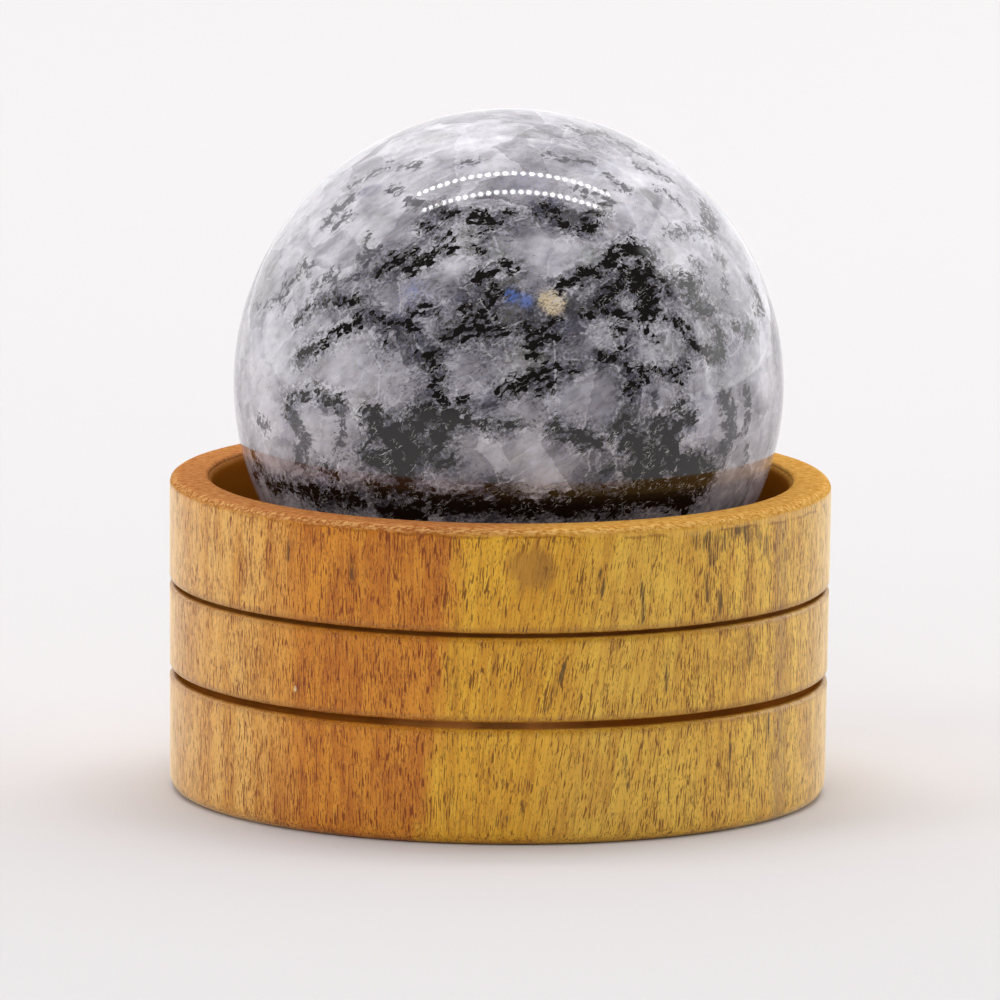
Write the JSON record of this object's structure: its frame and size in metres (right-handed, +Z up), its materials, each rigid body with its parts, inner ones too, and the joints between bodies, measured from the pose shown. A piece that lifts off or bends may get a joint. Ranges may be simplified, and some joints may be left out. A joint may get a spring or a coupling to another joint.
{
  "type": "decorative stone sphere on a wooden stand",
  "caption": "Polished stone ball, pale with black veins and clusters, resting in the cup of a round turned hardwood stand with cut grooves.",
  "frame": {"origin": "centre of the stand's flat underside", "axes": "+Z up along the stand's turning axis, +X to the right and +Y away when seen from the front"},
  "size_m": [0.0662, 0.0662, 0.0686],
  "materials": {
    "wood": "turned hardwood, satin clear lacquer, grain upright",
    "stone": "pale grey feldspar with black tourmaline, mirror polished"
  },
  "bodies": {
    "root": {"wooden_stand": "wood", "stone_sphere": "stone"}
  },
  "joints": []
}
